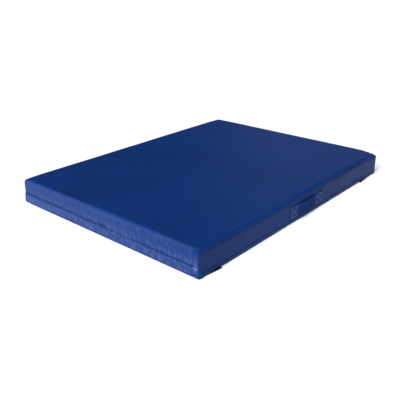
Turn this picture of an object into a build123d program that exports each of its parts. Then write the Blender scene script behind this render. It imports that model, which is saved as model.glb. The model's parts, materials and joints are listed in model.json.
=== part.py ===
"""Bi-fold gym mat, folded shut: two foam panels in sewn vinyl covers, joined by a spine wall with a handle.

Frame, in millimetres: origin at the centre of the bottom of the overall box, +Z up, +X towards the spine
and its handle, Y along the fold. The short side at -Y is "near" and the one at +Y is "far".
"""
import os
from math import cos, pi

from build123d import *

# ---- driving dimensions ----
FOLDED_LENGTH = 1220.0  # along the fold
FOLDED_WIDTH = 915.0  # across the fold, without the handle
FOLDED_HEIGHT = 100.0
LOWER_HEIGHT = 44.6  # the lower panel is squashed a little by the upper one
PANEL_GAP = 0.8

SKIN = 1.2  # coated fabric
CORE_CLEARANCE = 0.3
CORNER_RADIUS = 18.0  # upright corners, seen from above
TOP_EDGE_RADIUS = 16.0
FLOOR_EDGE_RADIUS = 12.0
LIP_EDGE_RADIUS = 5.0
OUTER_SEAM_INSET = 18.0  # height of the outer skins' turned-down rim
INNER_SEAM_INSET = 6.0

FOLD_LINE_INSET = 10.0  # the fold lines run this far inside the top and bottom faces
CHEEK_LENGTH = 26.0
CHEEK_INSET = 0.6
CHEEK_CLEARANCE = 0.6
SPINE_GAP = 0.4

STRAP_WIDTH = 50.0
STRAP_THICKNESS = 2.4
STRAP_LENGTH = 224.0
STRAP_PATCH = 50.0
STRAP_RAMP = 26.0
STRAP_RAMP_STEPS = 6
STRAP_BOTTOM = 20.0
HANDLE_STANDOFF = 10.0
HANDLE_CENTRE_Y = 5.0
BACKING_MARGIN = 14.0
BACKING_THICKNESS = 1.0

THREAD = 0.9
STITCH_MARGIN = 5.0
TACK_SETBACK = 15.0  # from the spine to the middle of a bar tack
TACK_WIDTH = 20.0
TACK_HEIGHT = 20.0

FLAP_SHEET = 1.6
FLAP_TAPE = 2.2
TAPE_WIDTH = 50.0
NEAR_FLAP_WIDTH = 105.0
FAR_FLAP_WIDTH = 150.0
FLAP_PROUD = 6.0  # how far the free edge sticks out past the spine
FLAP_SKEW = 10.0  # the flaps lie a little askew
FLAP_END_INSET = 30.0
FLAP_HINGE_GAP = 2.0
FLAP_RECESS = 4.4  # the foam above a folded flap is pressed up by this much
RECESS_MARGIN = 4.0

WELT_HEIGHT = 4.0
WELT_PROUD = 1.6
WELT_ROUNDING = 1.4
WELT_STOP = 4.0  # from the end of a cheek to the end of the welt

BEYOND = 1.0  # how far a cutting box reaches past what it cuts

# ---- places that follow from them ----
X_OPENING = -(FOLDED_WIDTH + HANDLE_STANDOFF) / 2
X_SPINE = X_OPENING + FOLDED_WIDTH
Y_END = FOLDED_LENGTH / 2
FOLD_LOW_Z = FOLD_LINE_INSET
FOLD_HIGH_Z = FOLDED_HEIGHT - FOLD_LINE_INSET

SPINE_INNER_X = X_SPINE - 2 * SKIN
FOLD_WALL_X = SPINE_INNER_X - BACKING_THICKNESS - SPINE_GAP
CHEEK_OUTER_Y = Y_END - CHEEK_INSET
PANEL_END_Y = CHEEK_OUTER_Y - SKIN - CHEEK_CLEARANCE
PANEL_OPENING_X = X_OPENING + WELT_PROUD
UPPER_BOTTOM_Z = LOWER_HEIGHT + PANEL_GAP
BACKING_BOTTOM = STRAP_BOTTOM - BACKING_MARGIN / 2


def block(low, high):
    """Box between two opposite corners."""
    size = [b - a for a, b in zip(low, high)]
    middle = [(a + b) / 2 for a, b in zip(low, high)]
    return Pos(*middle) * Box(*size)


def rounded_block(low, high, corner, bottom, top):
    """Box with rounded upright corners, then a rounded bottom rim and a rounded top rim."""
    body = block(low, high)
    body = fillet(body.edges().filter_by(Axis.Z), corner)
    body = fillet(body.edges().group_by(Axis.Z)[-1], top)
    return fillet(body.edges().group_by(Axis.Z)[0], bottom)


def slab(x_low, x_high, y_low, y_high, z_low, z_high):
    """Cutting box, named by its limits."""
    return block((x_low, y_low, z_low), (x_high, y_high, z_high))


def upright_prism(outline, height, z_low):
    """Solid that stands on a closed outline in plan, given as (x, y) points."""
    face = make_face(Polyline(*outline, close=True)).face()
    way = 1 if face.normal_at().Z > 0 else -1
    return Pos(0, 0, z_low) * extrude(face, way * height)


# ---- panel covers and cores ----
def panel_shape(z_low, z_high, bottom, top, inset, recess):
    """One panel's outline moved in by inset all round, with the steps that folded flaps press into it."""
    body = rounded_block(
        (PANEL_OPENING_X + inset, -PANEL_END_Y + inset, z_low + inset),
        (FOLD_WALL_X - inset, PANEL_END_Y - inset, z_high - inset),
        CORNER_RADIUS - inset,
        bottom - inset,
        top - inset,
    )
    if not recess:
        return body
    step_top = z_low + FLAP_RECESS + inset
    near_step = -PANEL_END_Y + NEAR_FLAP_WIDTH + RECESS_MARGIN + inset
    far_step = PANEL_END_Y - FAR_FLAP_WIDTH - RECESS_MARGIN - inset
    left = X_OPENING - BEYOND
    right = X_SPINE + BEYOND
    body -= slab(left, right, -Y_END - BEYOND, near_step, z_low - BEYOND, step_top)
    body -= slab(left, right, far_step, Y_END + BEYOND, z_low - BEYOND, step_top)
    return body


def cover_pieces(shell, name, low_seam, high_seam, low_skin, high_skin):
    """Cuts a panel's cover at its sewn seams: two faces with turned-over rims, and four side bands."""
    side_x = PANEL_OPENING_X + CORNER_RADIUS
    fold_x = FOLD_WALL_X - CORNER_RADIUS
    side_y = PANEL_END_Y - CORNER_RADIUS
    wide = Y_END + BEYOND
    left = X_OPENING - BEYOND
    right = X_SPINE + BEYOND
    pieces = {
        low_skin: shell & slab(left, right, -wide, wide, -BEYOND, low_seam),
        high_skin: shell & slab(left, right, -wide, wide, high_seam, FOLDED_HEIGHT + BEYOND),
    }
    bands = {
        "near_band": (left, right, -wide, -side_y),
        "far_band": (left, right, side_y, wide),
        "opening_band": (left, side_x, -side_y, side_y),
        "fold_band": (fold_x, right, -side_y, side_y),
    }
    for band, limits in bands.items():
        pieces[f"{name}_{band}"] = shell & slab(*limits, low_seam, high_seam)
    return pieces


def core_plies(name, core, z_middle):
    """The foam core as two sheets glued at mid height."""
    wide = FOLDED_LENGTH
    return {
        f"{name}_core_bottom_ply": core & slab(-wide, wide, -wide, wide, -BEYOND, z_middle),
        f"{name}_core_top_ply": core & slab(-wide, wide, -wide, wide, z_middle, FOLDED_HEIGHT + BEYOND),
    }


def lip_welt(body, z_low):
    """Sewn bead that follows the gap round the three open sides, and stops short of the spine's cheeks."""
    z_high = z_low + WELT_HEIGHT
    bead = block(
        (X_OPENING, -PANEL_END_Y - WELT_PROUD, z_low),
        (FOLD_WALL_X, PANEL_END_Y + WELT_PROUD, z_high),
    )
    bead = fillet(bead.edges().filter_by(Axis.Z), CORNER_RADIUS + WELT_PROUD)
    bead = fillet(bead.faces().sort_by(Axis.Z)[-1].edges(), WELT_ROUNDING)
    bead = fillet(bead.faces().sort_by(Axis.Z)[0].edges(), WELT_ROUNDING)
    bead -= body
    stop_x = X_SPINE - CHEEK_LENGTH - WELT_STOP
    return bead - slab(stop_x, X_SPINE, -Y_END, Y_END, z_low - BEYOND, z_high + BEYOND)


def lower_panel():
    outline = panel_shape(0, LOWER_HEIGHT, FLOOR_EDGE_RADIUS, LIP_EDGE_RADIUS, 0, True)
    hollow = panel_shape(0, LOWER_HEIGHT, FLOOR_EDGE_RADIUS, LIP_EDGE_RADIUS, SKIN, True)
    inset = SKIN + CORE_CLEARANCE
    core = panel_shape(0, LOWER_HEIGHT, FLOOR_EDGE_RADIUS, LIP_EDGE_RADIUS, inset, True)
    pieces = cover_pieces(
        outline - hollow,
        "lower",
        OUTER_SEAM_INSET,
        LOWER_HEIGHT - INNER_SEAM_INSET,
        "lower_outer_skin",
        "lower_inner_skin",
    )
    pieces.update(core_plies("lower", core, LOWER_HEIGHT / 2))
    welt_z = LOWER_HEIGHT - INNER_SEAM_INSET - WELT_HEIGHT
    pieces["lower_lip_welt"] = lip_welt(outline, welt_z)
    return pieces


def upper_panel():
    low = UPPER_BOTTOM_Z
    high = FOLDED_HEIGHT
    outline = panel_shape(low, high, LIP_EDGE_RADIUS, TOP_EDGE_RADIUS, 0, False)
    hollow = panel_shape(low, high, LIP_EDGE_RADIUS, TOP_EDGE_RADIUS, SKIN, False)
    core = panel_shape(low, high, LIP_EDGE_RADIUS, TOP_EDGE_RADIUS, SKIN + CORE_CLEARANCE, False)
    pieces = cover_pieces(
        outline - hollow,
        "upper",
        low + INNER_SEAM_INSET,
        high - OUTER_SEAM_INSET,
        "upper_inner_skin",
        "upper_outer_skin",
    )
    pieces.update(core_plies("upper", core, (low + high) / 2))
    pieces["upper_lip_welt"] = lip_welt(outline, low + INNER_SEAM_INSET)
    return pieces


# ---- spine and handle ----
def spine():
    z_low = FOLD_LOW_Z + SPINE_GAP
    z_high = FOLD_HIGH_Z - SPINE_GAP
    outer_x = X_SPINE - SKIN
    pieces = {
        "spine_cover": block((outer_x, -CHEEK_OUTER_Y, z_low), (X_SPINE, CHEEK_OUTER_Y, z_high)),
        "spine_lining": block(
            (SPINE_INNER_X, -CHEEK_OUTER_Y + SKIN, z_low),
            (outer_x, CHEEK_OUTER_Y - SKIN, z_high),
        ),
    }
    for name, sign in (("near", -1), ("far", 1)):
        inner_y = sign * (CHEEK_OUTER_Y - SKIN)
        outer_y = sign * CHEEK_OUTER_Y
        pieces[f"spine_{name}_cheek"] = block(
            (X_SPINE - CHEEK_LENGTH, min(inner_y, outer_y), z_low),
            (outer_x, max(inner_y, outer_y), z_high),
        )
    return pieces


def strap_offset(along, lift):
    """How far the strap's inner face stands off the spine, at a distance from the strap's near end."""
    rise_start = STRAP_PATCH
    rise_end = STRAP_PATCH + STRAP_RAMP
    mirrored = min(along, STRAP_LENGTH - along)
    if mirrored <= rise_start:
        return 0.0
    if mirrored >= rise_end:
        return lift
    return lift * (1 - cos(pi * (mirrored - rise_start) / STRAP_RAMP)) / 2


def handle_strap():
    """Flat webbing, sewn down at both ends and bowed out over the finger gap."""
    lift = HANDLE_STANDOFF - STRAP_THICKNESS
    stops = [0.0]
    stops += [STRAP_PATCH + STRAP_RAMP * i / STRAP_RAMP_STEPS for i in range(STRAP_RAMP_STEPS + 1)]
    stops += [STRAP_LENGTH - s for s in reversed(stops)]
    start_y = HANDLE_CENTRE_Y - STRAP_LENGTH / 2
    inner = [(X_SPINE + strap_offset(s, lift), start_y + s) for s in stops]
    outer = [(x + STRAP_THICKNESS, y) for x, y in reversed(inner)]
    return upright_prism([*inner, *outer], STRAP_WIDTH, STRAP_BOTTOM)


def bar(start, end, x_low):
    """Row of thread laid flat on a wall that faces +X, from one (y, z) point to another."""
    dy = end[0] - start[0]
    dz = end[1] - start[1]
    length = (dy * dy + dz * dz) ** 0.5
    angle = Vector(0, dy, dz).get_signed_angle(Vector(0, 1, 0), Vector(-1, 0, 0))
    place = Pos(x_low + THREAD / 2, (start[0] + end[0]) / 2, (start[1] + end[1]) / 2)
    return place * Rot(angle, 0, 0) * Box(THREAD, length + THREAD, THREAD)


def handle_stitching():
    """A sewn box with a cross in it on each end patch of the strap."""
    groups = []
    low_z = STRAP_BOTTOM + STITCH_MARGIN
    high_z = STRAP_BOTTOM + STRAP_WIDTH - STITCH_MARGIN
    for sign in (-1, 1):
        middle_y = HANDLE_CENTRE_Y + sign * (STRAP_LENGTH - STRAP_PATCH) / 2
        half = STRAP_PATCH / 2 - STITCH_MARGIN
        corners = [
            (middle_y - half, low_z),
            (middle_y + half, low_z),
            (middle_y + half, high_z),
            (middle_y - half, high_z),
        ]
        rows = [(corners[i], corners[(i + 1) % 4]) for i in range(4)]
        rows += [(corners[0], corners[2]), (corners[1], corners[3])]
        group = bar(*rows[0], X_SPINE + STRAP_THICKNESS)
        for row in rows[1:]:
            group += bar(*row, X_SPINE + STRAP_THICKNESS)
        groups.append(group)
    return Compound(children=[g.solid() for g in groups])


def handle_pieces():
    half = STRAP_LENGTH / 2 + BACKING_MARGIN
    backing = block(
        (SPINE_INNER_X - BACKING_THICKNESS, HANDLE_CENTRE_Y - half, BACKING_BOTTOM),
        (SPINE_INNER_X, HANDLE_CENTRE_Y + half, BACKING_BOTTOM + STRAP_WIDTH + BACKING_MARGIN),
    )
    return {
        "handle_strap": handle_strap(),
        "handle_backing": backing,
        "handle_stitching": handle_stitching(),
    }


def seam_threads():
    """Thread along both fold lines of the spine, and the bar tacks where the gap ends at the cheeks."""
    end = CHEEK_OUTER_Y - STITCH_MARGIN
    low_z = FOLD_LOW_Z + STITCH_MARGIN
    high_z = FOLD_HIGH_Z - STITCH_MARGIN
    tack_x = X_SPINE - TACK_SETBACK
    tack_z = UPPER_BOTTOM_Z - INNER_SEAM_INSET
    tacks = []
    for sign in (-1, 1):
        y = sign * (CHEEK_OUTER_Y + CHEEK_INSET / 2)
        level = Pos(tack_x, y, tack_z) * Box(TACK_WIDTH, CHEEK_INSET, THREAD * 2)
        upright = Pos(tack_x, y, tack_z) * Box(THREAD * 2, CHEEK_INSET, TACK_HEIGHT)
        tacks.append((level + upright).solid())
    return {
        "spine_upper_seam_thread": bar((-end, high_z), (end, high_z), X_SPINE),
        "spine_lower_seam_thread": bar((-end, low_z), (end, low_z), X_SPINE),
        "cheek_bar_tacks": Compound(children=tacks),
    }


# ---- connecting flaps, folded under the lower panel ----
def flap_plan(width, start, stop, sign):
    """Plan of a strip of a flap, between two distances from its hinge. It drifts towards the spine."""
    edge_y = PANEL_END_Y
    points = []
    for reach in (start, stop):
        drift = FLAP_SKEW * reach / width
        y = sign * (edge_y - reach)
        points.append((X_OPENING + FLAP_END_INSET + drift, y))
        points.append((X_SPINE + FLAP_PROUD - FLAP_SKEW + drift, y))
    first, second, third, fourth = points
    return [first, second, fourth, third]


def flap(name, tape_name, width, sign):
    """Vinyl sheet with fastener tape along its free edge. The tape faces the floor while folded."""
    sheet = flap_plan(width, FLAP_HINGE_GAP, width, sign)
    tape = flap_plan(width, width - TAPE_WIDTH, width, sign)
    return {
        f"{name}_flap_sheet": upright_prism(sheet, FLAP_SHEET, FLAP_TAPE),
        f"{name}_flap_{tape_name}_tape": upright_prism(tape, FLAP_TAPE, 0),
    }


def main():
    pieces = {}
    pieces.update(lower_panel())
    pieces.update(upper_panel())
    pieces.update(spine())
    pieces.update(handle_pieces())
    pieces.update(seam_threads())
    pieces.update(flap("near", "hook", NEAR_FLAP_WIDTH, -1))
    pieces.update(flap("far", "loop", FAR_FLAP_WIDTH, 1))
    os.makedirs("parts", exist_ok=True)
    for name, shape in pieces.items():
        export_step(shape, f"parts/{name}.step")


main()
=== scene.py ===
"""Visual model of the folding gym mat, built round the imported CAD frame. Everything is in metres.

The soft pieces are first built square and level, then settle() bends them all together, so that
seams, stitches and covers stay on each other. The gap sags a little, the upper corners are pulled
down by the cover, and the top edge of the spine wall is creased.
"""
import json
import math
from itertools import pairwise

import bmesh
import bpy
import numpy as np
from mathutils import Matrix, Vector, noise


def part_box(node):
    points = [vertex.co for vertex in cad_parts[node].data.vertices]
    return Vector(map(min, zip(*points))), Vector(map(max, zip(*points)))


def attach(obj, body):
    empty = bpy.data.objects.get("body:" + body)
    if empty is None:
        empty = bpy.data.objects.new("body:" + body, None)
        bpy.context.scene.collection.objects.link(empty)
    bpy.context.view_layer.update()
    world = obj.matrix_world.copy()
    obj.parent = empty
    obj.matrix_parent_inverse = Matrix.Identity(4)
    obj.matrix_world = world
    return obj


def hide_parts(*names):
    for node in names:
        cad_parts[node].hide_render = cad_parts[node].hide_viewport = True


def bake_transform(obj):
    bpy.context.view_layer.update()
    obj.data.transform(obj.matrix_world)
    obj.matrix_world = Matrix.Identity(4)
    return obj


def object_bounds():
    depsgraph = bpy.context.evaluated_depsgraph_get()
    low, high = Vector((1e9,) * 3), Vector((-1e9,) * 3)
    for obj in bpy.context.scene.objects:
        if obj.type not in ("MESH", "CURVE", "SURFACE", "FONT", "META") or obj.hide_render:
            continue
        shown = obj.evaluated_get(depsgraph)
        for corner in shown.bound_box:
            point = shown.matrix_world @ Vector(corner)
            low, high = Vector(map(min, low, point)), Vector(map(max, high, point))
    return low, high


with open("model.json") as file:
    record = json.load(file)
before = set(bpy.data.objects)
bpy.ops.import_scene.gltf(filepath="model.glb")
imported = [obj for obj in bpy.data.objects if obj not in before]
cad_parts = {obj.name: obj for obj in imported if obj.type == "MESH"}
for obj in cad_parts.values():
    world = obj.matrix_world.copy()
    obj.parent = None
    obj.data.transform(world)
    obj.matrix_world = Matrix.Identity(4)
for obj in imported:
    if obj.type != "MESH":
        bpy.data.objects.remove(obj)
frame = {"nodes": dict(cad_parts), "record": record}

CAD_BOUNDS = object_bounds()


# ---- places read from the frame ----
def joined_box(*nodes):
    """Lowest and highest corner of several CAD nodes together."""
    lows, highs = zip(*(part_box(node) for node in nodes))
    return np.min(lows, axis=0), np.max(highs, axis=0)


def joint_point(name):
    """A point on a joint's axis."""
    found = next(j for j in frame["record"]["behaviour"]["joints"] if j["name"] == name)
    return found["pos_m"]


LOWER_LOW, LOWER_HIGH = joined_box("lower_outer_skin", "lower_inner_skin")
UPPER_LOW, UPPER_HIGH = joined_box("upper_outer_skin", "upper_inner_skin")
SPINE_LOW, SPINE_HIGH = joined_box("spine_cover", "spine_near_cheek", "spine_far_cheek")
STRAP_LOW, STRAP_HIGH = joined_box("handle_strap")
SPINE_X = SPINE_HIGH[0]
FOLD_LOW_Z = joint_point("spine_fold")[2]
FOLD_HIGH_Z = joint_point("upper_panel_fold")[2]
MID_Z = (LOWER_HIGH[2] + UPPER_LOW[2]) / 2

# ---- sizes of the soft details ----
SKIN = 0.0012
CORNER = 0.0045
INNER_CORNER = 0.004
TOP_ROUND = 0.011
FLOOR_ROUND = 0.0035
TOP_RIM_Z = 0.0965
OUTER_SEAM = 0.018
INNER_SEAM = 0.006
INTERFACE_GAP = 0.0004
LOWER_STEP = 0.005
SWELL_UP = 0.0030
SWELL_OUT = 0.0012
THREAD_RADIUS = 0.0007
STITCH = 0.0055
STITCH_GAP = 0.0016


# ---- small helpers ----
def smooth(value, start, end):
    """0 before start, 1 after end, and an easy curve between them. It takes arrays too."""
    t = np.clip((value - start) / (end - start), 0, 1)
    return t * t * (3 - 2 * t)


def coords(obj):
    """Vertex positions as an array."""
    flat = np.empty(len(obj.data.vertices) * 3)
    obj.data.vertices.foreach_get("co", flat)
    return flat.reshape(-1, 3)


def set_coords(obj, points):
    obj.data.vertices.foreach_set("co", np.asarray(points).ravel())
    obj.data.update()


def ripple(points, size, seed):
    """Smooth noise, about -0.5 to 0.5, at each point. size is the width of one bump, in metres."""
    shift = Vector((seed * 7.31, seed * 3.17, seed * 5.73))
    return np.array([noise.noise(Vector(p) / size + shift) for p in points])


def mesh_object(name, points, faces):
    mesh = bpy.data.meshes.new(name)
    mesh.from_pydata([tuple(p) for p in points], [], faces)
    mesh.polygons.foreach_set("use_smooth", [True] * len(mesh.polygons))
    mesh.update()
    obj = bpy.data.objects.new(name, mesh)
    bpy.context.scene.collection.objects.link(obj)
    return obj


def apply_modifiers(obj):
    """Replaces the mesh by what its modifiers make of it."""
    depsgraph = bpy.context.evaluated_depsgraph_get()
    final = bpy.data.meshes.new_from_object(obj.evaluated_get(depsgraph))
    old = obj.data
    obj.modifiers.clear()
    obj.data = final
    bpy.data.meshes.remove(old)
    return obj


def subdivide(obj):
    step = obj.modifiers.new("subdivide", "SUBSURF")
    step.levels = 1
    step.render_levels = 1
    return apply_modifiers(obj)


def thicken(obj, thickness, offset=-1):
    """Gives a sheet its thickness. An offset of -1 keeps its outer face where it is."""
    step = obj.modifiers.new("thickness", "SOLIDIFY")
    step.thickness = thickness
    step.offset = offset
    return apply_modifiers(obj)


# How the stack settles
GAP_SAG = (0.0032, 0.0028)  # drop of the gap line at the opening side, and how much more at the spine
SAG_REACH = (0.012, 0.09)  # full near the rim, none this far in
CORNER_LIFT = (0.02, 0.095)  # heights between which a corner's drop builds up
# Sides of the corner in x and y, drop, reach
CORNER_DROPS = [
    (1, 1, 0.0085, 0.050),
    (1, -1, 0.003, 0.04),
    (-1, 1, 0.002, 0.05),
    (-1, -1, 0.002, 0.05),
]
PINCH = 0.0030  # how far the opening corners draw in at the gap
PINCH_REACH = 0.05
PINCH_HEIGHT = 0.016
CREASE_Z = 0.0885
CREASE = 0.0016
CREASE_HALF = 0.0030
WRINKLE = 0.0022
WRINKLE_HALF = 0.008
WRINKLE_ZONE = 0.016


def bell(distance, half_width):
    """1 at no distance, falling off smoothly."""
    return np.exp(-((distance / half_width) ** 2))


def crease_depth(at, height):
    """How far the spine wall's top edge is drawn in: one slow crease, and small wrinkles along it."""
    wrinkle = ripple(at * [0, 1, 2.5], 0.030, 31) + 0.6 * ripple(at * [0, 1, 3.0], 0.011, 32)
    strength = 1 + 1.2 * ripple(at * [0, 1, 0], 0.16, 33)
    wander = 0.004 * ripple(at * [0, 1, 0], 0.07, 34)
    crease = CREASE * strength * bell(height - wander, CREASE_HALF)
    return crease + WRINKLE * bell(height, WRINKLE_HALF) * (0.35 + wrinkle)


def settle(points):
    """Bends the whole stack: the gap sags along the rim, and the corners and the spine's top edge give."""
    p = np.array(points, float)
    x, y, z = p[:, 0], p[:, 1], p[:, 2]
    half_x = (CAD_BOUNDS[1][0] - CAD_BOUNDS[0][0]) / 2
    half_y = (CAD_BOUNDS[1][1] - CAD_BOUNDS[0][1]) / 2
    height = smooth(z, 0.0, MID_Z) - smooth(z, MID_Z, TOP_RIM_Z)
    rim = np.minimum(half_x + x, half_y - np.abs(y))
    along_x = smooth(x, -half_x, half_x)
    sag = (GAP_SAG[0] + GAP_SAG[1] * along_x) * (1 - smooth(rim, *SAG_REACH))
    p[:, 2] -= sag * height
    lift = smooth(z, *CORNER_LIFT)
    waist = bell(z - MID_Z, PINCH_HEIGHT)
    for corner_x, corner_y, drop, reach in CORNER_DROPS:
        away = np.hypot(x - corner_x * half_x, y - corner_y * half_y)
        p[:, 2] -= drop * bell(away, reach) * lift
        if corner_x < 0:
            pinch = PINCH * bell(away, PINCH_REACH) * waist
            p[:, 0] += pinch
            p[:, 1] -= corner_y * pinch
    edge = np.flatnonzero((x > SPINE_X - WRINKLE_ZONE) & (np.abs(z - CREASE_Z) < WRINKLE_ZONE))
    if len(edge):
        facing = smooth(x[edge], SPINE_X - 0.014, SPINE_X - 0.003)
        p[edge, 0] -= facing * crease_depth(p[edge], z[edge] - CREASE_Z)
    return p


def settle_object(obj):
    set_coords(obj, settle(coords(obj)))
    return obj


# ---- panel covers ----
GRID_GROWTH = 1.22
COVER_CELL = (0.006, 0.020)
PRESSURE = 4.0
CLOTH_FRAMES = 20


def stops(half, fine, coarse):
    """Places from -half to half, close together near both ends."""
    gaps = []
    gap = fine
    while sum(gaps) < half:
        gaps.append(gap)
        gap = min(gap * GRID_GROWTH, coarse)
    places = half - np.cumsum([0.0, *gaps]) * half / sum(gaps)
    return np.concatenate([-places[:-1], places[::-1]])


def pad(name, low, high, profile, cell):
    """Closed slab with rounded corners.

    profile runs from the top face's rim to the bottom face's, as (inset, z). cell is the finest and
    the coarsest spacing of its grid.
    """
    centre = (np.array(low[:2]) + np.array(high[:2])) / 2
    half = (np.array(high[:2]) - np.array(low[:2])) / 2
    deepest = max(inset for inset, _ in profile)
    flat = half - deepest - INNER_CORNER
    xs = stops(half[0] - deepest, *cell)
    ys = stops(half[1] - deepest, *cell)
    grid_x, grid_y = np.meshgrid(xs, ys, indexing="ij")

    def place(x, y, inset, z):
        """Moves grid places onto the rounded outline that lies inset within the outer one."""
        radius = max(CORNER - inset, INNER_CORNER)
        inner = half - inset - radius
        s = np.clip((np.abs(x) - flat[0]) / INNER_CORNER, 0, 1)
        t = np.clip((np.abs(y) - flat[1]) / INNER_CORNER, 0, 1)
        straight_x = np.minimum(np.abs(x), flat[0]) * inner[0] / flat[0]
        straight_y = np.minimum(np.abs(y), flat[1]) * inner[1] / flat[1]
        out_x = straight_x + radius * s * np.sqrt(1 - t * t / 2)
        out_y = straight_y + radius * t * np.sqrt(1 - s * s / 2)
        level = np.full(x.shape, z)
        places = [centre[0] + np.sign(x) * out_x, centre[1] + np.sign(y) * out_y, level]
        return np.stack(places, axis=-1).reshape(-1, 3)

    count_x, count_y = len(xs), len(ys)
    rim = [(i, 0) for i in range(count_x)]
    rim += [(count_x - 1, j) for j in range(1, count_y)]
    rim += [(i, count_y - 1) for i in range(count_x - 2, -1, -1)]
    rim += [(0, j) for j in range(count_y - 2, 0, -1)]
    rim_grid = np.array([i * count_y + j for i, j in rim])
    rim_x = grid_x.ravel()[rim_grid]
    rim_y = grid_y.ravel()[rim_grid]

    points = [place(grid_x.ravel(), grid_y.ravel(), *profile[0])]
    rings = [rim_grid]
    used = count_x * count_y
    for step in profile[1:-1]:
        points.append(place(rim_x, rim_y, *step))
        rings.append(np.arange(len(rim)) + used)
        used += len(rim)
    points.append(place(grid_x.ravel(), grid_y.ravel(), *profile[-1]))
    rings.append(rim_grid + used)

    faces = []
    for i in range(count_x - 1):
        for j in range(count_y - 1):
            a = i * count_y + j
            square = (a, a + count_y, a + count_y + 1, a + 1)
            faces.append(square)
            faces.append(tuple(used + k for k in reversed(square)))
    for upper, lower in pairwise(rings):
        for k in range(len(rim)):
            n = (k + 1) % len(rim)
            faces.append((upper[k], lower[k], lower[n], upper[n]))
    return mesh_object(name, np.concatenate(points), faces)


def swell(obj):
    """Blows the cover up over its foam by a short cloth simulation, and caps how far each point moves."""
    rest = coords(obj)
    cloth = obj.modifiers.new("cloth", "CLOTH")
    cloth.settings.use_pressure = True
    cloth.settings.uniform_pressure_force = PRESSURE
    cloth.settings.tension_stiffness = 40
    cloth.settings.compression_stiffness = 40
    cloth.settings.shear_stiffness = 12
    cloth.settings.bending_stiffness = 2
    cloth.settings.effector_weights.gravity = 0
    cloth.collision_settings.use_collision = False
    scene = bpy.context.scene
    for step in range(1, CLOTH_FRAMES + 1):
        scene.frame_set(step)
    evaluated = obj.evaluated_get(bpy.context.evaluated_depsgraph_get())
    swollen = np.array([v.co for v in evaluated.data.vertices])
    obj.modifiers.clear()
    scene.frame_set(1)
    move = swollen - rest
    far = np.hypot(move[:, 0], move[:, 1])
    move[:, :2] *= np.minimum(1, SWELL_OUT / np.maximum(far, 1e-9))[:, None]
    move[:, 2] = np.clip(move[:, 2], -SWELL_UP, SWELL_UP)
    set_coords(obj, rest + move)


def arc_profile(inset, z, radius, start, end, count):
    """Points of a quarter bend as (inset, z), about a centre that lies radius inside the wall."""
    angles = np.radians(np.linspace(start, end, count))
    return [(inset - radius * math.cos(a), z + radius * math.sin(a)) for a in angles]


def upper_profile():
    """From the top rim down the wall to the full lip that rests on the lower panel."""
    low = UPPER_LOW[2]
    steps = arc_profile(TOP_ROUND, TOP_RIM_Z - TOP_ROUND, TOP_ROUND, 90, 0, 7)
    steps += [(-0.0004, low + 0.030), (-0.0014, low + 0.0235)]
    steps += [(-0.0026, low + 0.018), (-0.0033, low + 0.013)]
    steps += [(-0.0034, low + 0.0075), (-0.0030, low + 0.0042), (-0.0021, low + 0.0020)]
    steps += [(-0.0008, low + 0.0006), (0.0010, low), (0.0055, low)]
    return steps


def lower_profile():
    """From the rim under the gap down to the floor."""
    high = LOWER_HIGH[2]
    steps = [(0.0055, high), (0.0012, high), (-0.0006, high - 0.0006)]
    steps += [(-0.0018, high - 0.0020), (-0.0026, high - 0.0045), (-0.0026, high - 0.011)]
    steps += [(-0.0020, high - 0.018), (-0.0018, high - 0.026), (-0.0016, FLOOR_ROUND + 0.0025)]
    steps += arc_profile(FLOOR_ROUND - 0.0012, FLOOR_ROUND, FLOOR_ROUND, 0, -90, 6)
    return steps


NEAR_FLAP_LOW, NEAR_FLAP_HIGH = joined_box("near_flap_sheet", "near_flap_hook_tape")
FAR_FLAP_LOW, FAR_FLAP_HIGH = joined_box("far_flap_sheet", "far_flap_loop_tape")
FLAP_ROOM = 0.0006
VISUAL_SKEW = 0.010


def floor_height(points):
    """Lowest z of the lower cover: the floor, or the folded flaps under both ends."""
    x, y = points[:, 0], points[:, 1]
    over_near = 1 - smooth(y, NEAR_FLAP_HIGH[1] + 0.001, NEAR_FLAP_HIGH[1] + 0.025)
    over_far = smooth(y, FAR_FLAP_LOW[1] - 0.025, FAR_FLAP_LOW[1] - 0.001)
    over = np.zeros(len(points))
    flaps = ((over_near, NEAR_FLAP_LOW, NEAR_FLAP_HIGH), (over_far, FAR_FLAP_LOW, FAR_FLAP_HIGH))
    for share, low, high in flaps:
        root = max(abs(low[1]), abs(high[1]))
        width = high[1] - low[1]
        drift = VISUAL_SKEW * np.clip((root - np.abs(y)) / width, 0, 1)
        free_end = high[0] - VISUAL_SKEW + drift
        past_free_end = smooth(x, free_end + 0.0005, free_end + 0.005)
        before_start = 1 - smooth(x, low[0] + drift - 0.012, low[0] + drift)
        over = np.maximum(over, share * (1 - past_free_end) * (1 - before_start))
    return (NEAR_FLAP_HIGH[2] + FLAP_ROOM) * over


def outward(obj):
    """Vertex normals, and how upright the surface is there, from 0 on a flat face to 1 on a side."""
    normals = np.empty(len(obj.data.vertices) * 3)
    obj.data.vertex_normals.foreach_get("vector", normals)
    normals = normals.reshape(-1, 3)
    return normals, 1 - smooth(np.abs(normals[:, 2]), 0.75, 0.98)


SEAM_HALF = 0.0022
PUCKER_HALF = 0.012


def dimple_seams(obj, seams, seed):
    """Pulls the side in along each seam, (z, depth, puckers), with puckers that fade away from it."""
    p = coords(obj)
    normals, upright = outward(obj)
    pull = np.zeros(len(p))
    pucker = ripple(p * [1, 1, 0.35], 0.016, seed) + 0.6 * ripple(p * [1, 1, 0.3], 0.045, seed + 1)
    for height, depth, waves in seams:
        away = np.abs(p[:, 2] - height)
        pull -= depth * bell(away, SEAM_HALF)
        pull += waves * pucker * bell(away, PUCKER_HALF)
    set_coords(obj, p + normals * (pull * upright)[:, None])


WALL_ROOM = 0.0042
CHEEK_ROOM = 0.0030


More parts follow.
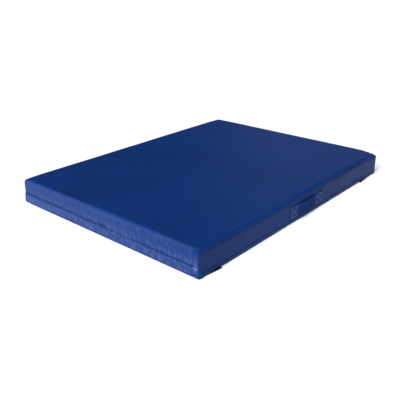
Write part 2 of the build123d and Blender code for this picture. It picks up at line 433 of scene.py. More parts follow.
def make_room(obj, z_low, z_high):
    """Draws the cover in behind the spine wall and its cheeks, whose plies lie over it."""
    p = coords(obj)
    above_low = smooth(p[:, 2], z_low - 0.004, z_low + 0.002)
    below_high = 1 - smooth(p[:, 2], z_high - 0.002, z_high + 0.004)
    inside = above_low * below_high
    behind_wall = smooth(p[:, 0], SPINE_X - 0.02, SPINE_X - 0.004)
    behind_cheek = smooth(p[:, 0], SPINE_LOW[0] + 0.001, SPINE_LOW[0] + 0.008)
    near_end = smooth(np.abs(p[:, 1]), SPINE_HIGH[1] - 0.025, SPINE_HIGH[1] - 0.006)
    p[:, 0] -= WALL_ROOM * behind_wall * inside
    p[:, 1] -= np.sign(p[:, 1]) * CHEEK_ROOM * behind_cheek * near_end * inside
    set_coords(obj, p)


def finish_cover(obj, panel, material):
    """Gives the sewn cover its thickness, and lets it stand for the skins and bands it is made of."""
    thicken(obj, SKIN)
    dress(obj, material)
    names = ["outer_skin", "inner_skin", "near_band", "far_band", "opening_band", "fold_band"]
    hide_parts(*(f"{panel}_{name}" for name in names))
    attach(obj, f"{panel}_panel")


def panel_outline(low, high):
    """The cover's outer limits. They reach a little further towards the spine, to meet the fold line."""
    return low, (SPINE_X - 0.0006, high[1], high[2])


def upper_cover(material):
    low, high = panel_outline(UPPER_LOW, UPPER_HIGH)
    obj = pad("upper_cover", low, high, upper_profile(), COVER_CELL)
    swell(obj)
    p = coords(obj)
    p[:, 2] = np.clip(p[:, 2], MID_Z + INTERFACE_GAP, UPPER_HIGH[2] - 0.0005)
    set_coords(obj, p)
    subdivide(obj)
    seams = [(TOP_RIM_Z - OUTER_SEAM, 0.0002, 0.0008), (UPPER_LOW[2] + INNER_SEAM, 0, 0.0018)]
    dimple_seams(obj, seams, 3)
    make_room(obj, UPPER_LOW[2], FOLD_HIGH_Z - 0.006)
    settle_object(obj)
    finish_cover(obj, "upper", material)


def lower_cover(material):
    low, high = panel_outline(LOWER_LOW, LOWER_HIGH)
    low = (low[0] - LOWER_STEP, low[1], low[2])
    obj = pad("lower_cover", low, high, lower_profile(), COVER_CELL)
    swell(obj)
    p = coords(obj)
    p[:, 2] = np.clip(p[:, 2], floor_height(p), MID_Z - INTERFACE_GAP)
    set_coords(obj, p)
    subdivide(obj)
    seams = [(LOWER_HIGH[2] - INNER_SEAM, 0, 0.0014), (OUTER_SEAM, 0.0002, 0.0010)]
    dimple_seams(obj, seams, 8)
    make_room(obj, FOLD_LOW_Z + 0.006, LOWER_HIGH[2])
    p = coords(obj)
    p[:, 2] = np.maximum(p[:, 2], floor_height(p))
    set_coords(obj, p)
    settle_object(obj)
    finish_cover(obj, "lower", material)


FOAM_INSET = 0.009
FOAM_ROOM = 0.005
FOAM_CELL = (0.02, 0.06)


def foam_plies(panel, low, high, body, material):
    """The two glued foam sheets inside a cover, with softly rounded edges, clear of the cover all round."""
    lowest = NEAR_FLAP_HIGH[2] if panel == "lower" else low[2]
    z_low = lowest + FOAM_ROOM
    z_high = min(high[2], TOP_RIM_Z) - FOAM_ROOM
    z_mid = (z_low + z_high) / 2
    for name, bottom, top in (("bottom", z_low, z_mid), ("top", z_mid, z_high)):
        ends = (np.array(low[:2]) + FOAM_INSET, np.array(high[:2]) - FOAM_INSET)
        rim = [(0.004, top), (0.0012, top - 0.001), (0.0, top - 0.004)]
        rim += [(0.0, bottom + 0.004), (0.0012, bottom + 0.001), (0.004, bottom)]
        ply = pad(f"{panel}_foam_{name}_ply", *ends, rim, FOAM_CELL)
        settle_object(ply)
        dress(ply, material)
        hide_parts(f"{panel}_core_{name}_ply")
        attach(ply, body)


# ---- beads, sheets and straps along a path ----
def rounded_path(corners, radius, spacing):
    """Points along straight runs joined by round bends, in plan, a little under spacing apart."""
    points = [np.array(corners[0])]
    for before, corner, after in zip(corners, corners[1:], corners[2:]):
        before, corner, after = map(np.array, (before, corner, after))
        into = (corner - before) / np.linalg.norm(corner - before)
        out = (after - corner) / np.linalg.norm(after - corner)
        centre = corner - into * radius + out * radius
        points += along(points[-1], corner - into * radius, spacing)
        for angle in np.linspace(0, math.pi / 2, 7)[1:]:
            points.append(centre - out * radius * math.cos(angle) + into * radius * math.sin(angle))
    points += along(points[-1], np.array(corners[-1]), spacing)
    return np.array(points)


def along(start, end, spacing):
    """Even steps from start, left out, to end."""
    count = max(1, math.ceil(np.linalg.norm(end - start) / spacing))
    return [start + (end - start) * (k + 1) / count for k in range(count)]


def plan_normals(path):
    """Outward normals of a path that runs anticlockwise round the mat, seen from above."""
    way = np.gradient(path, axis=0)
    way /= np.linalg.norm(way, axis=1, keepdims=True)
    return np.stack([way[:, 1], -way[:, 0]], axis=1)


def swept(name, path, section, closed_section=True):
    """Sweeps a section, given as (outward, z) points, along a path in plan."""
    normals = plan_normals(path)
    points = []
    for place, normal in zip(path, normals):
        for out, z in section:
            points.append((*(place + normal * out), z))
    size = len(section)
    last = size if closed_section else size - 1
    faces = []
    for k in range(len(path) - 1):
        for s in range(last):
            n = (s + 1) % size
            faces.append((k * size + s, (k + 1) * size + s, (k + 1) * size + n, k * size + n))
    if closed_section:
        faces.append(tuple(range(size)))
        faces.append(tuple(reversed(range((len(path) - 1) * size, len(path) * size))))
    return mesh_object(name, points, faces)


PATH_STEP = 0.008
BEAD_OUT = 0.0022
BEAD_RADII = (0.0012, 0.0013)
BEAD_WANDER = 0.0012
WELT_OFFSET = 0.0026  # from the gap to the middle of each bead


def lip_welt(panel, z, body, material):
    """Sewn bead that runs along the gap, round the three sides that open."""
    low, high = (UPPER_LOW, UPPER_HIGH) if panel == "upper" else (LOWER_LOW, LOWER_HIGH)
    stop_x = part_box(f"{panel}_lip_welt")[1][0]
    corners = [(stop_x, high[1]), (low[0], high[1]), (low[0], low[1]), (stop_x, low[1])]
    path = rounded_path(corners, CORNER, PATH_STEP)
    angles = np.linspace(0, 2 * math.pi, 9)[:-1]
    section = [(BEAD_OUT + BEAD_RADII[0] * math.cos(a), z + BEAD_RADII[1] * math.sin(a)) for a in angles]
    welt = swept(f"{panel}_lip_bead", path, section)
    p = coords(welt)
    p[:, 2] += BEAD_WANDER * ripple(p * [1, 1, 0], 0.05, 5)
    set_coords(welt, p)
    settle_object(welt)
    dress(welt, material)
    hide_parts(f"{panel}_lip_welt")
    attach(welt, body)


# ---- thread ----
STITCH_SIDES = 6
# Share of the length, thickness and rise, the last two as parts of the radius
STITCH_SHAPE = [(0, 0.45, -0.4), (0.18, 0.9, 0.3), (0.5, 1.0, 0.55), (0.82, 0.9, 0.3), (1, 0.45, -0.4)]


def add_stitch(bm, start, end, normal, radius):
    """One stitch: a short twist of thread that rises from the cloth and dips back into it."""
    start, end, normal = Vector(start), Vector(end), Vector(normal).normalized()
    way = (end - start).normalized()
    side = way.cross(normal)
    rings = []
    for share, size, rise in STITCH_SHAPE:
        centre = start.lerp(end, share) + normal * radius * rise
        ring = []
        for k in range(STITCH_SIDES):
            angle = k * 2 * math.pi / STITCH_SIDES
            offset = side * math.cos(angle) + normal * math.sin(angle) * 0.8
            ring.append(bm.verts.new(centre + offset * radius * size))
        rings.append(ring)
    for first, second in pairwise(rings):
        for k in range(STITCH_SIDES):
            n = (k + 1) % STITCH_SIDES
            bm.faces.new((first[k], first[n], second[n], second[k]))
    bm.faces.new(list(reversed(rings[0])))
    bm.faces.new(rings[-1])


def stitch_rows(name, rows, radius=THREAD_RADIUS, length=STITCH, gap=STITCH_GAP):
    """Stitches along each row. A row is (start, end, outward normal)."""
    bm = bmesh.new()
    for start, end, normal in rows:
        start, end = Vector(start), Vector(end)
        count = max(1, round((end - start).length / (length + gap)))
        for k in range(count):
            first = start.lerp(end, (k + 0.5 * gap / (length + gap)) / count)
            last = start.lerp(end, (k + 1 - 0.5 * gap / (length + gap)) / count)
            add_stitch(bm, first, last, normal, radius)
    bmesh.ops.recalc_face_normals(bm, faces=bm.faces)
    mesh = bpy.data.meshes.new(name)
    bm.to_mesh(mesh)
    bm.free()
    mesh.polygons.foreach_set("use_smooth", [True] * len(mesh.polygons))
    obj = bpy.data.objects.new(name, mesh)
    bpy.context.scene.collection.objects.link(obj)
    return obj


# ---- spine ----
SPINE_CORNER = 0.004
WAVE_FREE = (0.12, 0.20)  # from the handle's middle, where the wall is held flat and where it is free
WALL_DRAW = 0.0008
WALL_WAVE = 0.0014
CHEEK_TUCK = 0.0012
HEM_HALF = 0.0055
HEM_RISE = 0.0006
HEM_DEPTH = 0.0012
SEAM_OFFSET = 0.008
SEAM_END = 0.012


def spine_path(inset, spacing):
    """Plan of the spine wall: the near cheek, the long wall and the far cheek."""
    start_x = SPINE_LOW[0]
    corners = [
        (start_x, SPINE_LOW[1] + inset),
        (SPINE_X - inset, SPINE_LOW[1] + inset),
        (SPINE_X - inset, SPINE_HIGH[1] - inset),
        (start_x, SPINE_HIGH[1] - inset),
    ]
    return rounded_path(corners, SPINE_CORNER - inset, spacing)


def spine_sheet(name, inset, thickness):
    """One ply of the spine wall, drawn in a little between its two fold lines."""
    heights = np.linspace(FOLD_LOW_Z, FOLD_HIGH_Z, 17)
    section = [(0.0, z) for z in heights]
    obj = swept(name, spine_path(inset, PATH_STEP), section, closed_section=False)
    p = coords(obj)
    across = np.sin(math.pi * (p[:, 2] - FOLD_LOW_Z) / (FOLD_HIGH_Z - FOLD_LOW_Z))
    strap_y = (STRAP_LOW[1] + STRAP_HIGH[1]) / 2
    free = smooth(np.abs(p[:, 1] - strap_y), *WAVE_FREE)
    wave = ripple(p * [1, 1, 0.7], 0.11, 11) + 0.5 * ripple(p * [1, 1, 2.0], 0.05, 12)
    facing = smooth(p[:, 0], SPINE_X - 0.02, SPINE_X - 0.004)
    p[:, 0] -= facing * across * free * (WALL_DRAW + WALL_WAVE * wave)
    tuck = 1 - smooth(p[:, 0], SPINE_LOW[0], SPINE_LOW[0] + 0.010)
    p[:, 1] -= np.sign(p[:, 1]) * CHEEK_TUCK * tuck
    set_coords(obj, p)
    thicken(obj, thickness)
    return settle_object(obj)


def spine(vinyl, cheek_vinyl, lining, seam_thread):
    wall = spine_sheet("spine_wall", 0.0, SKIN)
    dress(wall, vinyl)
    wall.data.materials.append(cheek_vinyl)
    # The cheeks take the cover vinyl, so they carry its painted light on the sides
    for face in wall.data.polygons:
        if abs(face.normal.y) > abs(face.normal.x):
            face.material_index = 1
    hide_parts("spine_cover", "spine_near_cheek", "spine_far_cheek")
    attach(wall, "spine")
    inner = spine_sheet("spine_inner_ply", SKIN * 1.1, SKIN)
    dress(inner, lining)
    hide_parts("spine_lining")
    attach(inner, "spine")
    fold_hem("upper", FOLD_HIGH_Z, vinyl)
    fold_hem("lower", FOLD_LOW_Z, vinyl)
    end = SPINE_HIGH[1] - SEAM_END
    for name, z in (("upper", FOLD_HIGH_Z - SEAM_OFFSET), ("lower", FOLD_LOW_Z + SEAM_OFFSET)):
        row = stitch_rows(f"spine_{name}_stitches", [((SPINE_X, -end, z), (SPINE_X, end, z), (1, 0, 0))])
        settle_object(row)
        dress(row, seam_thread)
        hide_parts(f"spine_{name}_seam_thread")
        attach(row, "spine")


def rounding(depth, radius):
    """How far a rounded rim has drawn in, at a depth past the start of its bend."""
    depth = min(max(depth, 0.0), radius * 0.95)
    return radius - math.sqrt(radius * radius - depth * depth)


def fold_hem(name, z, material):
    """Turned seam along a fold line, sewn to both sides of it."""
    section = []
    for share in np.linspace(0, 1, 11):
        height = z + HEM_HALF * (2 * share - 1)
        if name == "upper":
            lean = rounding(height - TOP_RIM_Z + TOP_ROUND, TOP_ROUND)
        else:
            lean = rounding(FLOOR_ROUND - height, FLOOR_ROUND)
        section.append((HEM_RISE * math.sin(math.pi * share) ** 0.6 - lean, height))
    section += [(out - HEM_DEPTH, height) for out, height in reversed(section)]
    hem = swept(f"spine_{name}_hem", spine_path(0.0, PATH_STEP), section)
    settle_object(hem)
    dress(hem, material)
    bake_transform(hem)


# ---- handle ----
STRAP_THICKNESS = 0.0024
SELVEDGE = 0.18  # how much thicker the woven edges are, as a share
STRAP_ROWS = 97
STRAP_RAMP = 0.026
STRAP_ROOM = 0.0015
STRAP_CLEAR = 0.0002
STRAP_NARROW = 0.05
STRAP_SAG = 0.0012
STRAP_TURN = 0.0007
PATCH = 0.050
BOX_MARGIN = 0.006


def strap_section(width, thickness):
    """Flat webbing with fuller woven edges, as (thickness direction, width direction) points."""
    half = width / 2
    outer = []
    for share in np.linspace(-1, 1, 15):
        edge = float(smooth(abs(share), 0.80, 0.93) * (1 - smooth(abs(share), 0.96, 1.0)))
        turned = float(smooth(abs(share), 0.97, 1))
        outer.append((thickness * (1 + SELVEDGE * edge - 0.25 * turned), share * half))
    return outer + [(0.0, share * half) for share in np.linspace(1, -1, 15)]


def strap(low, high, webbing):
    """Flat on the wall under both sewn ends, and bowed out between them."""
    length = high[1] - low[1]
    middle_z = (low[2] + high[2]) / 2
    standoff = high[0] - SPINE_X
    section = strap_section(high[2] - low[2], STRAP_THICKNESS)
    points, faces = [], []
    for k in range(STRAP_ROWS):
        s = length * k / (STRAP_ROWS - 1)
        inside = min(s, length - s)
        rise = (1 - math.cos(math.pi * float(np.clip((inside - PATCH) / STRAP_RAMP, 0, 1)))) / 2
        lift = (standoff - STRAP_THICKNESS * (1 + SELVEDGE) - STRAP_ROOM) * rise + STRAP_CLEAR
        turn = STRAP_TURN * (1 - float(smooth(inside, 0.0, 0.004)))
        for out, across in section:
            x = SPINE_X + lift + out - turn
            z = middle_z + across * (1 - STRAP_NARROW * rise) - STRAP_SAG * rise
            points.append((x, low[1] + s, z))
    size = len(section)
    for k in range(STRAP_ROWS - 1):
        for i in range(size):
            n = (i + 1) % size
            faces.append((k * size + i, (k + 1) * size + i, (k + 1) * size + n, k * size + n))
    faces.append(tuple(range(size)))
    faces.append(tuple(reversed(range((STRAP_ROWS - 1) * size, STRAP_ROWS * size))))
    obj = mesh_object("handle_webbing", points, faces)
    settle_object(obj)
    dress(obj, webbing)
    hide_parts("handle_strap")
    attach(obj, "spine")


def box_stitches(low, high, thread):
    """A stitched box with a cross in it on each sewn end of the strap."""
    rows = []
    face_x = SPINE_X + STRAP_THICKNESS + 0.0003
    middle_y = (low[1] + high[1]) / 2
    z0, z1 = low[2] + BOX_MARGIN, high[2] - BOX_MARGIN
    for sign in (-1, 1):
        centre_y = middle_y + sign * (high[1] - low[1] - PATCH) / 2
        y0, y1 = centre_y - PATCH / 2 + BOX_MARGIN, centre_y + PATCH / 2 - BOX_MARGIN
        corners = [(face_x, y0, z0), (face_x, y1, z0), (face_x, y1, z1), (face_x, y0, z1)]
        box = [*pairwise(corners), (corners[3], corners[0])]
        cross = [(corners[0], corners[2]), (corners[3], corners[1])]
        for start, end in box + cross:
            rows.append((start, end, (1, 0, 0)))
    stitches = stitch_rows("handle_box_stitches", rows, radius=0.0008, length=0.0045, gap=0.0008)
    settle_object(stitches)
    dress(stitches, thread)
    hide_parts("handle_stitching")
    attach(stitches, "spine")


def handle(webbing, thread):
    strap(STRAP_LOW, STRAP_HIGH, webbing)
    box_stitches(STRAP_LOW, STRAP_HIGH, thread)
    dress(frame["nodes"]["handle_backing"], webbing)


TACK_RADIUS = 0.0006


def bar_tacks(thread):
    """Close stitches that lock each end of the gap to the spine's cheek, in the shape of a cross."""
    low, high = joined_box("cheek_bar_tacks")
    middle_x, middle_z = (low[0] + high[0]) / 2, (low[2] + high[2]) / 2
    rows = []
    for sign in (-1, 1):
        y = sign * (SPINE_HIGH[1] + 0.0002)
        for k in (-1, 1):
            z = middle_z + k * TACK_RADIUS
            rows.append(((low[0], y, z), (high[0], y, z), (0, sign, 0)))
            x = middle_x + k * TACK_RADIUS
            rows.append(((x, y, low[2]), (x, y, high[2]), (0, sign, 0)))
    tacks = stitch_rows("gap_bar_tacks", rows, radius=TACK_RADIUS, length=0.0030, gap=0.0005)
    settle_object(tacks)
    dress(tacks, thread)
    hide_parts("cheek_bar_tacks")
    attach(tacks, "spine")


# ---- connecting flaps ----
NEAR_FLAP_SHORT = 0.004  # how much shorter the near sheet is, with its tape moved out as much
FLAP_COLUMNS = 121
FLAP_CELL = 0.007
FLAP_MARGIN = 0.004
FLAP_PLY = 0.8  # the sheet's thickness, as a share of its CAD solid's
FLAP_WAVE = 0.0007
BINDING = 0.0035
TAPE_COLUMNS = 60


def flap_route(width, bed, end):
    """A flap's section as (reach, z): from its seam round the cover's bottom edge, then flat to its end."""
    route = [(0.0004, 0.0046), (-0.0006, 0.0034), (-0.0002, 0.0020)]
    route += [(0.0014, 0.0012), (0.0040, 0.0016), (0.0080, bed)]
    start = route[-1][0]
    count = math.ceil(width / FLAP_CELL)
    return route + [(start + (end - start) * (k + 1) / count, bed) for k in range(count)]


def flap_surface(name, route, root_y, sign, low, high):
    """The route carried along the mat's end, cut a little askew like the real flap."""
    width = high[1] - low[1]
    points = []
    for reach, z in route:
        drift = VISUAL_SKEW * min(1.0, max(0.0, reach) / width)
        x_low = low[0] + FLAP_MARGIN + drift
        x_high = high[0] - VISUAL_SKEW + drift
        for k in range(FLAP_COLUMNS):
            x = x_low + (x_high - x_low) * k / (FLAP_COLUMNS - 1)
            points.append((x, root_y - sign * reach, z))
    faces = []
    for r in range(len(route) - 1):
        for k in range(FLAP_COLUMNS - 1):
            a = r * FLAP_COLUMNS + k
            square = (a, a + 1, a + FLAP_COLUMNS + 1, a + FLAP_COLUMNS)
            faces.append(square if sign < 0 else tuple(reversed(square)))
    obj = mesh_object(name, points, faces)
    p = coords(obj)
    under = smooth(sign * (root_y - p[:, 1]), 0.004, 0.03)
    p[:, 2] += FLAP_WAVE * under * ripple(p * [1, 1, 0], 0.05, 21)
    set_coords(obj, p)
    return obj


def flap_sheet(side, tape_slot, vinyl, binding, tape_material):
    """A flap sewn to the bottom edge of the lower panel. It comes round the edge and lies under the mat."""
    sheet_node = f"{side}_flap_sheet"
    tape_node = f"{side}_flap_{tape_slot}"
    low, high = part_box(sheet_node)
    width = high[1] - low[1]
    sign = -1 if side == "near" else 1
    shorter = NEAR_FLAP_SHORT if side == "near" else 0.0
    root_y = sign * abs(joint_point(f"{side}_flap_fold")[1])
    route = flap_route(width, (low[2] + high[2]) / 2, width + 0.002 - shorter)
    obj = flap_surface(f"{side}_flap_vinyl", route, root_y, sign, low, high)
    thicken(obj, (high[2] - low[2]) * FLAP_PLY, offset=0)
    # The sheet's near-black colour is partly its dark back and partly painted shade; the strip at its root
    # is blue
    dress(obj, vinyl)
    obj.data.materials.append(binding)
    for face in obj.data.polygons:
        if sign * (root_y - face.center[1]) < BINDING:
            face.material_index = 1
    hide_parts(sheet_node)
    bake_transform(obj)

    tape_low, tape_high = map(list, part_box(tape_node))
    tape_low[1] -= shorter
    tape_high[1] -= shorter
    tape = flap_tape(f"{side}_flap_fastener", tape_low, tape_high, sign, VISUAL_SKEW / 2)
    dress(tape, tape_material)
    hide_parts(tape_node)
    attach(tape, f"{side}_flap")


def flap_tape(name, low, high, sign, skew):
    """Fastener tape with a thin woven edge and a thick field of hooks or loops, which faces the floor."""
    width = high[1] - low[1]
    rows = [0.0, 0.002, 0.0045, 0.006, *np.linspace(0.010, width - 0.010, 6)]
    rows += [width - 0.006, width - 0.0045, width - 0.002, width]
    points = []
    for layer in (0, 1):
        for across in rows:
            field = float(smooth(min(across, width - across), 0.004, 0.006))
            y = low[1] + across if sign < 0 else high[1] - across
            drift = skew * across / width
            for k in range(TAPE_COLUMNS):
                x = low[0] + drift + (high[0] - skew - low[0]) * k / (TAPE_COLUMNS - 1)
                z = high[2] - 0.0002 if layer == 0 else low[2] + 0.0008 * (1 - field) + 0.0001
                points.append((x, y, z))
    per_layer = len(rows) * TAPE_COLUMNS
    faces = []
    for r in range(len(rows) - 1):
        for k in range(TAPE_COLUMNS - 1):
            a = r * TAPE_COLUMNS + k
            faces.append((a, a + 1, a + TAPE_COLUMNS + 1, a + TAPE_COLUMNS))
            b = a + per_layer
            faces.append((b, b + TAPE_COLUMNS, b + TAPE_COLUMNS + 1, b + 1))
    border = list(range(TAPE_COLUMNS))
    border += [r * TAPE_COLUMNS + TAPE_COLUMNS - 1 for r in range(1, len(rows))]
    border += [(len(rows) - 1) * TAPE_COLUMNS + k for k in range(TAPE_COLUMNS - 2, -1, -1)]
    border += [r * TAPE_COLUMNS for r in range(len(rows) - 2, 0, -1)]
    for first, second in pairwise([*border, border[0]]):
        faces.append((first, first + per_layer, second + per_layer, second))
    tape = mesh_object(name, points, faces)
    bm = bmesh.new()
    bm.from_mesh(tape.data)
    bmesh.ops.recalc_face_normals(bm, faces=bm.faces)
    bm.to_mesh(tape.data)
    bm.free()
    return tape


# ---- materials ----
# Deep and light tone of each surface, in linear light
BLUE = ((0.0014, 0.016, 0.092), (0.0045, 0.034, 0.172))
SPINE_BLUE = ((0.0022, 0.017, 0.092), (0.0060, 0.036, 0.172))
# Near black: the dark back of the vinyl, made darker still as painted shade for the flap sheets under the
# mat
DARK_BACK_AND_SHADE = ((0.0015, 0.003, 0.010), (0.0030, 0.006, 0.020))
FOAM = ((0.55, 0.55, 0.52), (0.78, 0.78, 0.75))
WEBBING = ((0.0025, 0.014, 0.078), (0.0060, 0.030, 0.140))
THREAD = ((0.085, 0.125, 0.36), (0.16, 0.21, 0.50))
TACK_THREAD = ((0.16, 0.22, 0.50), (0.26, 0.33, 0.64))
SEAM_THREAD = ((0.003, 0.012, 0.070), (0.006, 0.022, 0.110))
TAPE = ((0.0015, 0.0018, 0.003), (0.008, 0.009, 0.014))
# Pale milky blue painted on the upright sides that open: painted light and painted floor reflection
PAINTED_SIDE_LIGHT = (0.034, 0.066, 0.200)
FLOOR = (0.90, 0.90, 0.90)


def new_material(name):
    material = bpy.data.materials.new(name)
    material.use_nodes = True
    nodes = material.node_tree.nodes
    links = material.node_tree.links
    shader = nodes["Principled BSDF"]
    place = nodes.new("ShaderNodeTexCoord")
    return material, nodes, links, shader, place


def noise_node(nodes, links, place, scale, detail=2.0):
    node = nodes.new("ShaderNodeTexNoise")
    node.inputs["Scale"].default_value = scale
    node.inputs["Detail"].default_value = detail
    links.new(place.outputs["Object"], node.inputs["Vector"])
    return node


def math_node(nodes, links, operation, *values):
    """The result of one operation. A value is a socket or a number."""
    node = nodes.new("ShaderNodeMath")
    node.operation = operation
    for socket, value in zip(node.inputs, values):
        if isinstance(value, float):
            socket.default_value = value
        else:
            links.new(value, socket)
    return node.outputs["Value"]


def remap(nodes, links, value, start, end, low=0.0, high=1.0):
    """Goes from low to high, and no further, as value goes from start to end."""
    node = nodes.new("ShaderNodeMapRange")
    node.inputs["From Min"].default_value = start
    node.inputs["From Max"].default_value = end
    node.inputs["To Min"].default_value = low
    node.inputs["To Max"].default_value = high
    links.new(value, node.inputs["Value"])
    return node.outputs["Result"]


def blend_colours(nodes, links, factor, first, second, low=0.35, high=0.65):
    """Goes from the first colour to the second as factor goes from low to high."""
    ramp = nodes.new("ShaderNodeValToRGB")
    ramp.color_ramp.elements[0].position = low
    ramp.color_ramp.elements[0].color = (*first, 1)
    ramp.color_ramp.elements[1].position = high
    ramp.color_ramp.elements[1].color = (*second, 1)
    links.new(factor, ramp.inputs["Fac"])
    return ramp.outputs["Color"]


def bump_chain(nodes, links, shader, layers):
    """Adds bumps one after another. A layer is (height socket, strength, depth in metres)."""
    last = None
    for height, strength, depth in layers:
        bump = nodes.new("ShaderNodeBump")
        bump.inputs["Strength"].default_value = strength
        bump.inputs["Distance"].default_value = depth
        links.new(height, bump.inputs["Height"])
        if last is not None:
            links.new(last, bump.inputs["Normal"])
        last = bump.outputs["Normal"]
    links.new(last, shader.inputs["Normal"])


def vinyl_material(name, deep, light, specular, side_light=0.0):
    """Coated fabric: a leather grain over a faint weave, with flecks and slow changes of tone, and, where
    side_light is given, painted light and painted floor reflection on the sides that open.
    """
    material, nodes, links, shader, place = new_material(name)
    shader.inputs["Specular IOR Level"].default_value = specular
    tone = noise_node(nodes, links, place, 3.0, 3.0).outputs["Fac"]
    flecks = noise_node(nodes, links, place, 260.0, 4.0).outputs["Fac"]
    fine = math_node(nodes, links, "MULTIPLY", flecks, 0.8)
    mixed = math_node(nodes, links, "MULTIPLY_ADD", tone, 0.2, fine)
    colour = blend_colours(nodes, links, mixed, deep, light, 0.36, 0.64)
    if side_light:
        colour = paint_side_light(nodes, links, place, colour, side_light)
    links.new(colour, shader.inputs["Base Color"])
    grain = nodes.new("ShaderNodeTexVoronoi")
    grain.feature = "SMOOTH_F1"
    grain.inputs["Scale"].default_value = 520.0
    links.new(place.outputs["Object"], grain.inputs["Vector"])
    weave = nodes.new("ShaderNodeTexWave")
    weave.wave_profile = "SIN"
    weave.inputs["Scale"].default_value = 190.0
    weave.inputs["Distortion"].default_value = 1.2
    links.new(place.outputs["Object"], weave.inputs["Vector"])
    links.new(remap(nodes, links, flecks, 0.3, 0.7, 0.40, 0.56), shader.inputs["Roughness"])
    dents = noise_node(nodes, links, place, 60.0)
    layers = [(grain.outputs["Distance"], 0.4, 0.0006), (weave.outputs["Fac"], 0.10, 0.0003)]
    layers.append((dents.outputs["Fac"], 0.15, 0.0010))
    bump_chain(nodes, links, shader, layers)
    return material


def paint_side_light(nodes, links, place, colour, amount):
    """Painted light: pale flecks and short upright streaks on the sides that open, standing for the key
    light and the floor's reflection there, denser from the gap to the floor.
    """
    where = nodes.new("ShaderNodeSeparateXYZ")
    links.new(place.outputs["Object"], where.inputs["Vector"])
    facing = nodes.new("ShaderNodeSeparateXYZ")
    links.new(place.outputs["Normal"], facing.inputs["Vector"])
    level = math_node(nodes, links, "ABSOLUTE", facing.outputs["Z"])
    gap = UPPER_LOW[2]
    low_down = remap(nodes, links, where.outputs["Z"], gap + 0.022, gap + 0.004, 0.30, 1.0)
    upright = remap(nodes, links, level, 0.85, 0.45)
    away_from_spine = remap(nodes, links, facing.outputs["X"], 0.6, 0.2)
    stretch = nodes.new("ShaderNodeMapping")
    stretch.inputs["Scale"].default_value = (1.0, 1.0, 0.28)
    links.new(place.outputs["Object"], stretch.inputs["Vector"])
    streaks = nodes.new("ShaderNodeTexNoise")
    streaks.inputs["Scale"].default_value = 120.0
    streaks.inputs["Detail"].default_value = 5.0
    links.new(stretch.outputs["Vector"], streaks.inputs["Vector"])
    # Painted light is strongest on upright faces low down, on the sides that face away from the dark spine
    # wall
    factor = remap(nodes, links, streaks.outputs["Fac"], 0.42, 0.64, 0.10, amount)
    for mask in (low_down, upright, away_from_spine):
        factor = math_node(nodes, links, "MULTIPLY", factor, mask)
    # A mix node's colours are its inputs 6 and 7 and its output 2
    mix = nodes.new("ShaderNodeMix")
    mix.data_type = "RGBA"
    links.new(factor, mix.inputs[0])
    links.new(colour, mix.inputs[6])
    mix.inputs[7].default_value = (*PAINTED_SIDE_LIGHT, 1)
    return mix.outputs[2]


def foam_material():
    material, nodes, links, shader, place = new_material("closed_cell_foam")
    cells = nodes.new("ShaderNodeTexVoronoi")
    cells.inputs["Scale"].default_value = 450.0
    links.new(place.outputs["Object"], cells.inputs["Vector"])
    colour = blend_colours(nodes, links, cells.outputs["Distance"], *FOAM, 0.1, 0.6)
    links.new(colour, shader.inputs["Base Color"])
    shader.inputs["Roughness"].default_value = 0.9
    bump_chain(nodes, links, shader, [(cells.outputs["Distance"], 0.5, 0.0008)])
    return material


def webbing_material():
    """Flat polyester webbing in a fine herringbone."""
    material, nodes, links, shader, place = new_material("webbing")
    shader.inputs["Specular IOR Level"].default_value = 0.05
    shader.inputs["Roughness"].default_value = 0.7
    ribs = []
    for turn in (0.9, -0.9):
        mapping = nodes.new("ShaderNodeMapping")
        mapping.inputs["Rotation"].default_value = (turn, 0, 0)
        links.new(place.outputs["Object"], mapping.inputs["Vector"])
        wave = nodes.new("ShaderNodeTexWave")
        wave.bands_direction = "Y"
        wave.inputs["Scale"].default_value = 150.0
        wave.inputs["Distortion"].default_value = 0.6
        links.new(mapping.outputs["Vector"], wave.inputs["Vector"])
        ribs.append(wave.outputs["Fac"])
    weave = math_node(nodes, links, "MAXIMUM", *ribs)
    colour = blend_colours(nodes, links, weave, *WEBBING, 0.2, 0.9)
    links.new(colour, shader.inputs["Base Color"])
    bump_chain(nodes, links, shader, [(weave, 0.6, 0.0005)])
    return material


def thread_material(name, deep, light):
    """Twisted polyester thread."""
    material, nodes, links, shader, place = new_material(name)
    shader.inputs["Roughness"].default_value = 0.6
    shader.inputs["Specular IOR Level"].default_value = 0.2
    twist = nodes.new("ShaderNodeTexWave")
    twist.bands_direction = "DIAGONAL"
    twist.inputs["Scale"].default_value = 420.0
    links.new(place.outputs["Object"], twist.inputs["Vector"])
    colour = blend_colours(nodes, links, twist.outputs["Fac"], deep, light, 0.2, 0.8)
    links.new(colour, shader.inputs["Base Color"])
    bump_chain(nodes, links, shader, [(twist.outputs["Fac"], 0.5, 0.0003)])
    return material


def tape_material(name, scale, rough):
    """Black fastener tape: rows of hooks, or a brushed field of loops."""
    material, nodes, links, shader, place = new_material(name)
    shader.inputs["Roughness"].default_value = rough
    shader.inputs["Sheen Weight"].default_value = 0.2
    cells = nodes.new("ShaderNodeTexVoronoi")
    cells.inputs["Scale"].default_value = scale
    links.new(place.outputs["Object"], cells.inputs["Vector"])
    fuzz = noise_node(nodes, links, place, 160.0, 4.0)
    colour = blend_colours(nodes, links, fuzz.outputs["Fac"], *TAPE)
    links.new(colour, shader.inputs["Base Color"])
    layers = [(cells.outputs["Distance"], 0.8, 0.0010), (fuzz.outputs["Fac"], 0.4, 0.0006)]
    bump_chain(nodes, links, shader, layers)
    return material


def dress(obj, material):
    """Gives a piece its material."""
    obj.data.materials.clear()
    obj.data.materials.append(material)


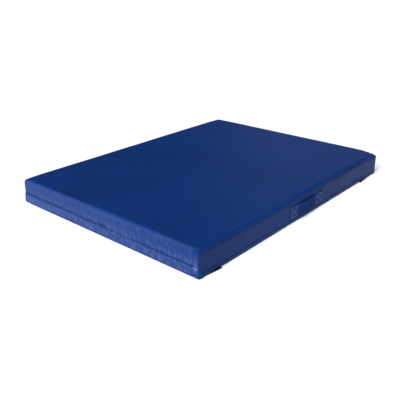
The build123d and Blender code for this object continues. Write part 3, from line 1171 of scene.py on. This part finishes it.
# ---- stage: floor, light and camera ----
FLOOR_HALF = 400
FLOOR_DROP = 0.0004
ROOM_COLOUR = (0.95, 0.97, 1.0)
ROOM_STRENGTH = 0.05
KEY_FROM = (0.33, -1.15, 1.10)
KEY_STRENGTH = 5.0
KEY_ANGLE = 35
LENS_MM = 49.44
SENSOR_MM = 36.0
EYE_FROM_CORNER = (0.9253, -1.0738, 0.8681)
LOOK = (-0.5990, 0.6980, -0.3928)


def pale_floor():
    h = FLOOR_HALF
    floor = mesh_object("floor", [(-h, -h, 0), (h, -h, 0), (h, h, 0), (-h, h, 0)], [(0, 1, 2, 3)])
    floor.location.z = -FLOOR_DROP
    material, _, _, shader, _ = new_material("floor_paper")
    shader.inputs["Base Color"].default_value = (*FLOOR, 1)
    shader.inputs["Roughness"].default_value = 0.9
    shader.inputs["Specular IOR Level"].default_value = 0.0
    floor.data.materials.append(material)


def area_light(name, place, target, size, power):
    light = bpy.data.lights.new(name, "AREA")
    light.shape = "RECTANGLE"
    light.size, light.size_y = size
    light.energy = power
    obj = bpy.data.objects.new(name, light)
    obj.location = place
    obj.rotation_euler = (Vector(target) - Vector(place)).to_track_quat("-Z", "Y").to_euler()
    bpy.context.scene.collection.objects.link(obj)


def studio():
    """A soft sun and a low softbox from the camera's left, a faint one behind the mat, and a dim room."""
    scene = bpy.context.scene
    scene.view_settings.view_transform = "Standard"
    world = bpy.data.worlds.new("studio")
    world.use_nodes = True
    background = world.node_tree.nodes["Background"]
    background.inputs["Color"].default_value = (*ROOM_COLOUR, 1)
    background.inputs["Strength"].default_value = ROOM_STRENGTH
    scene.world = world
    key = bpy.data.lights.new("key", "SUN")
    key.energy = KEY_STRENGTH
    key.angle = math.radians(KEY_ANGLE)
    obj = bpy.data.objects.new("key", key)
    obj.rotation_euler = Vector(KEY_FROM).to_track_quat("Z", "Y").to_euler()
    scene.collection.objects.link(obj)
    area_light("front_left", (-2.4, -3.4, 0.9), (-0.1, -0.6, 0.05), (2.6, 1.4), 60)
    area_light("back", (-1.5, 4.2, 1.6), (0.4, 0.4, 0.1), (2.6, 1.6), 5)


def camera():
    """Looks down on the near corner from a standing person's distance."""
    lens = bpy.data.cameras.new("camera")
    lens.sensor_width = SENSOR_MM
    lens.lens = LENS_MM
    obj = bpy.data.objects.new("camera", lens)
    corner = Vector((SPINE_X, SPINE_LOW[1] - 0.0006, 0))
    obj.location = corner + Vector(EYE_FROM_CORNER)
    obj.rotation_euler = Vector(LOOK).to_track_quat("-Z", "Y").to_euler()
    bpy.context.scene.collection.objects.link(obj)
    bpy.context.scene.camera = obj


def main():
    # The cover vinyl carries painted light and painted reflection on its upright sides
    vinyl = vinyl_material("blue_vinyl", *BLUE, specular=0.13, side_light=1.0)
    spine_vinyl = vinyl_material("spine_vinyl", *SPINE_BLUE, specular=0.08)
    lining = vinyl_material("vinyl_reverse", *DARK_BACK_AND_SHADE, specular=0.2)
    webbing = webbing_material()
    thread = thread_material("thread", *THREAD)
    foam = foam_material()
    hooks = tape_material("hook_field", 700.0, 0.6)
    loops = tape_material("loop_field", 450.0, 0.9)
    upper_cover(vinyl)
    lower_cover(vinyl)
    foam_plies("upper", UPPER_LOW, UPPER_HIGH, "upper_panel", foam)
    foam_plies("lower", LOWER_LOW, LOWER_HIGH, "lower_panel", foam)
    lip_welt("upper", UPPER_LOW[2] + WELT_OFFSET, "upper_panel", vinyl)
    lip_welt("lower", LOWER_HIGH[2] - WELT_OFFSET, "lower_panel", vinyl)
    spine(spine_vinyl, vinyl, lining, thread_material("seam_thread", *SEAM_THREAD))
    handle(webbing, thread)
    bar_tacks(thread_material("tack_thread", *TACK_THREAD))
    flap_sheet("near", "hook_tape", lining, spine_vinyl, hooks)
    flap_sheet("far", "loop_tape", lining, spine_vinyl, loops)
    pale_floor()
    studio()
    camera()


main()
